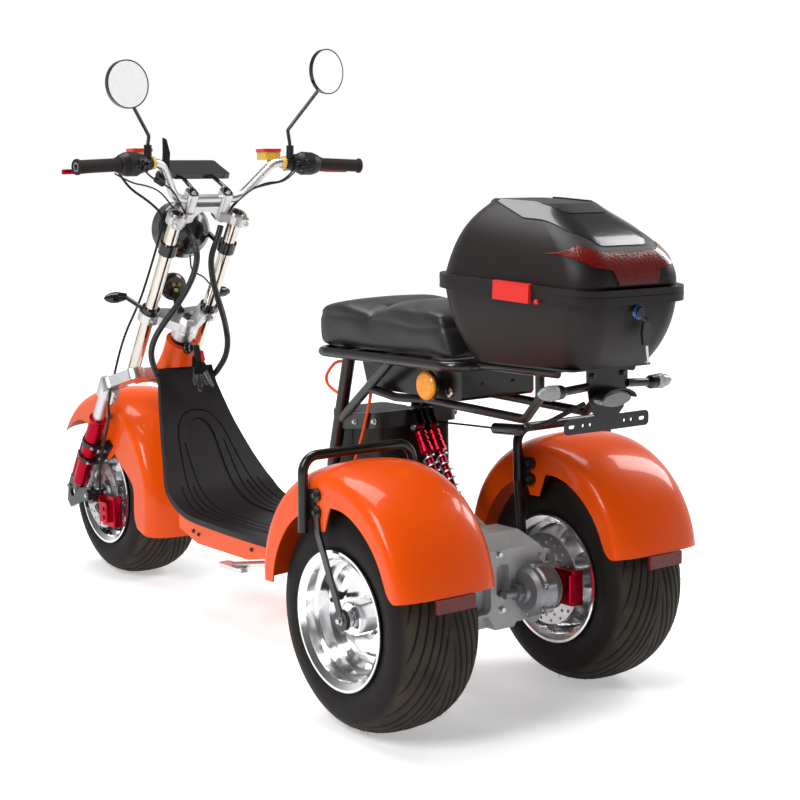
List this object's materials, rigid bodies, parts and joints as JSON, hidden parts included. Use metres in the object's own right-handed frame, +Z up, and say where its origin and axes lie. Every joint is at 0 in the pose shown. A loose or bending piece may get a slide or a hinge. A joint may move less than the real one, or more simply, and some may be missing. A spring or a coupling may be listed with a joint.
{
  "type": "electric chopper scooter",
  "caption": "Three-wheeled fat-tyre electric chopper scooter with long raked fork, orange fenders, flat footboard, bench seat and rear top case.",
  "frame": {"origin": "on the ground, at the middle of the length and width", "axes": "+Z up, the scooter faces -Y, its left side is +X"},
  "size_m": [0.836, 2.2272, 1.419],
  "materials": {
    "paint_orange": "gloss",
    "paint_black": "satin",
    "tyre_rubber": "matte",
    "rim_polished": "polished",
    "disc_steel": "satin",
    "cast_silver": "satin",
    "fork_chrome": "polished",
    "anodised_red": "satin",
    "cast_grey": "satin",
    "paint_silver": "satin",
    "grip_rubber": "matte",
    "switch_plastic": "satin",
    "anodised_gold": "gloss",
    "mirror_black": "gloss",
    "mirror_glass": "gloss",
    "display_black": "gloss",
    "lamp_black": "gloss",
    "lamp_clear": "gloss",
    "horn_black": "gloss",
    "mat_rubber": "satin",
    "seat_leather": "satin",
    "battery_black": "satin",
    "case_plastic": "textured",
    "case_gloss": "gloss",
    "latch_red": "gloss",
    "reflector_red": "gloss",
    "reflector_amber": "gloss",
    "lock_chrome": "polished",
    "stand_aluminium": "polished"
  },
  "bodies": {
    "chassis": {"chassis_frame": "paint_black", "under_seat_box": "paint_black", "battery_box": "battery_black", "seat_pad": "seat_leather", "foot_mat": "mat_rubber", "floor_skirt": "paint_orange", "neck_shroud": "paint_orange", "axle_carrier": "paint_silver", "rear_axle": "disc_steel", "gearbox": "cast_grey", "rear_calipers": "anodised_red", "rear_shocks": "anodised_red", "fender_hoops": "paint_black", "rear_fenders": "paint_orange", "rear_reflectors": "reflector_red", "tail_bracket": "paint_black", "rear_lenses": "lamp_clear", "side_reflectors": "reflector_amber", "case_base": "case_plastic", "key_locks": "lock_chrome", "shock_springs": "disc_steel", "rack_loops": "paint_black"},
    "steering": {"fork_tubes": "fork_chrome", "top_yoke": "cast_silver", "lower_yoke": "cast_silver", "fork_crown": "cast_silver", "fork_sleeves": "anodised_red", "fork_links": "paint_black", "handlebar": "cast_silver", "grips": "grip_rubber", "switch_housings": "switch_plastic", "brake_reservoirs": "anodised_gold", "mirror_shells": "mirror_black", "mirror_glasses": "mirror_glass", "display": "display_black", "headlight": "lamp_black", "headlight_lens": "lamp_clear", "horn": "horn_black", "front_indicators": "lamp_black", "front_fender": "paint_orange", "front_caliper": "anodised_red", "sleeve_clamps": "paint_black", "reservoir_caps": "latch_red", "brake_levers": "anodised_red"},
    "front_wheel": {"front_tyre": "tyre_rubber", "front_rim": "rim_polished", "front_brake_disc": "disc_steel"},
    "rear_wheel_left": {"rear_tyre_left": "tyre_rubber", "rear_rim_left": "rim_polished", "rear_disc_left": "disc_steel"},
    "rear_wheel_right": {"rear_tyre_right": "tyre_rubber", "rear_rim_right": "rim_polished", "rear_disc_right": "disc_steel"},
    "case_lid": {"case_lid": "case_plastic", "case_latch": "latch_red", "lid_panel": "case_gloss", "lid_reflector": "reflector_red"},
    "side_stand": {"side_stand": "stand_aluminium"}
  },
  "joints": [
    {"name": "steering_turn", "type": "hinge", "parent": "chassis", "child": "steering", "pos_m": [0, -0.8775, 0.2325], "axis": [0, 0.5446, 0.8387], "range_deg": [-35, 35]},
    {"name": "front_wheel_spin", "type": "hinge", "parent": "steering", "child": "front_wheel", "pos_m": [0, -0.8775, 0.2325], "axis": [1, 0, 0], "continuous": true},
    {"name": "rear_wheel_left_spin", "type": "hinge", "parent": "chassis", "child": "rear_wheel_left", "pos_m": [0.275, 0.6625, 0.2325], "axis": [1, 0, 0], "continuous": true},
    {"name": "rear_wheel_right_spin", "type": "hinge", "parent": "chassis", "child": "rear_wheel_right", "pos_m": [-0.275, 0.6625, 0.2325], "axis": [1, 0, 0], "continuous": true},
    {"name": "case_lid_hinge", "type": "hinge", "parent": "chassis", "child": "case_lid", "pos_m": [0, 0.69643, 0.89036], "axis": [1, 0, 0], "range_deg": [0, 80]},
    {"name": "side_stand_hinge", "type": "hinge", "parent": "chassis", "child": "side_stand", "pos_m": [0.12, 0.03, 0.196], "axis": [1, 0, 0], "range_deg": [0, 60]}
  ]
}
